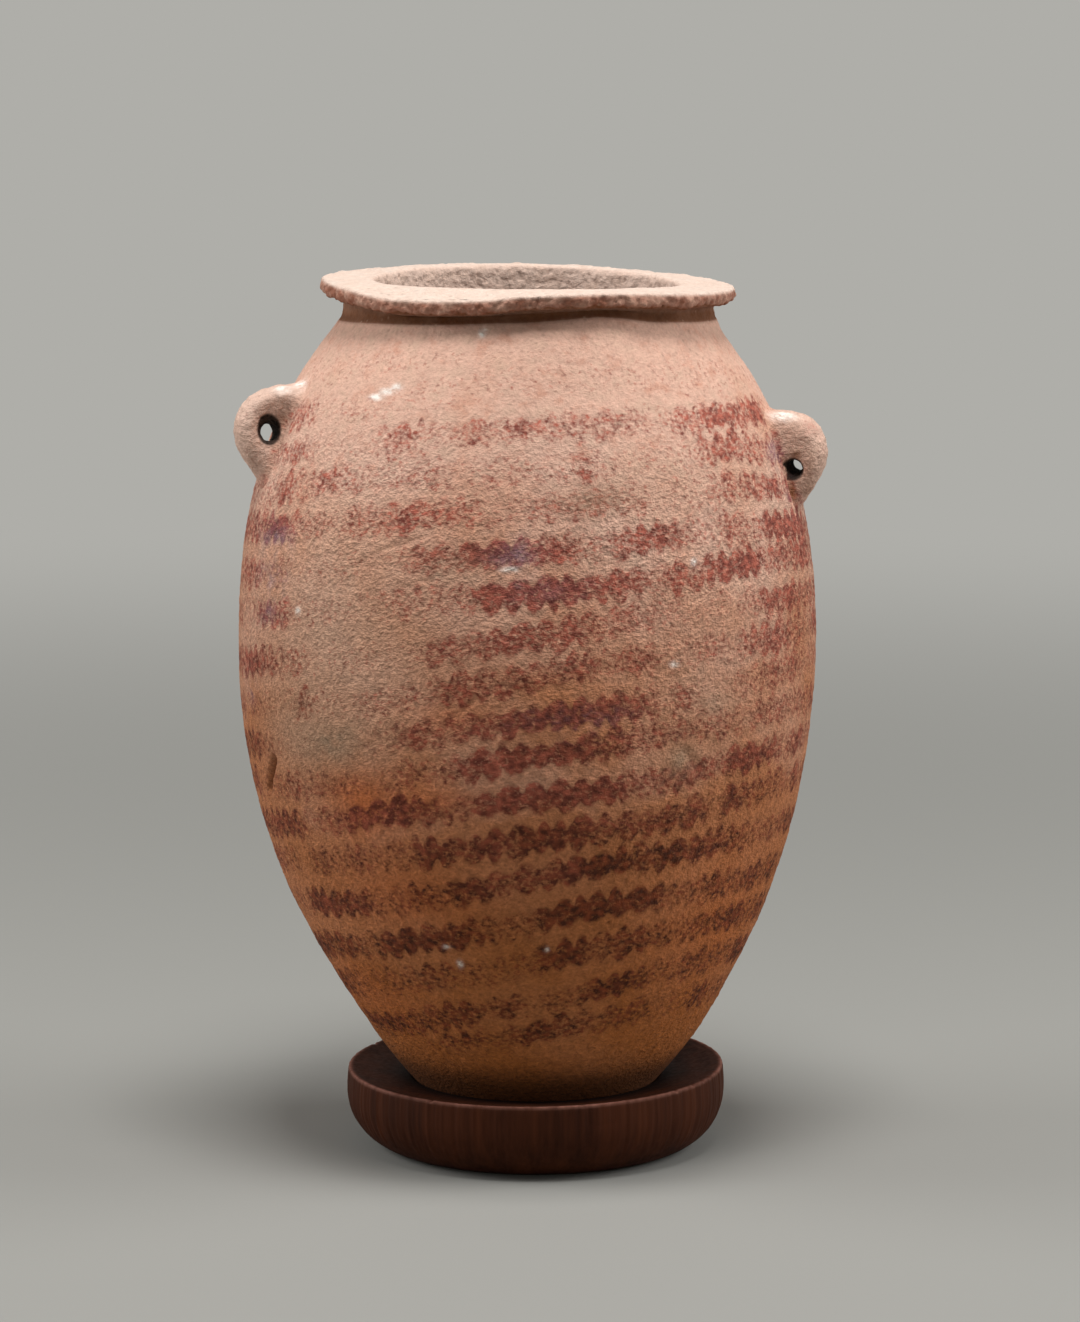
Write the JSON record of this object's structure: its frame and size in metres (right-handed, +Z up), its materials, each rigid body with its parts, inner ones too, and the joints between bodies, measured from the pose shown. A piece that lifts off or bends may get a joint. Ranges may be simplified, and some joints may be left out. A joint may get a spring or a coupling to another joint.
{
  "type": "painted earthenware jar on a ring stand",
  "caption": "Hand-built ovoid storage jar with a flat everted rim, pierced shoulder lugs and wavy painted bands, standing loose in a turned wooden ring.",
  "frame": {"origin": "on the surface that the ring stands on, under the middle of the jar", "axes": "+Z up along the jar's axis; -Y towards the painted front; the lugs lie near -X and +X"},
  "size_m": [0.1833, 0.18, 0.271],
  "materials": {
    "painted_earthenware": "matt, coarse, with worn painted bands",
    "plain_earthenware": "matt, coarse",
    "turned_wood": "dark stain, satin, worn along the upper edge"
  },
  "bodies": {
    "stand": {"ring_stand": "turned_wood"},
    "jar": {"base_cup": "painted_earthenware", "lower_wall": "painted_earthenware", "belly_wall": "painted_earthenware", "upper_wall": "painted_earthenware", "shoulder_wall": "painted_earthenware", "rim_collar": "plain_earthenware", "left_lug": "plain_earthenware", "right_lug": "plain_earthenware"}
  },
  "joints": [
    {"name": "jar_lift", "type": "slide", "parent": "stand", "child": "jar", "axis": [0, 0, 1], "range_m": [0, 0.12]}
  ]
}
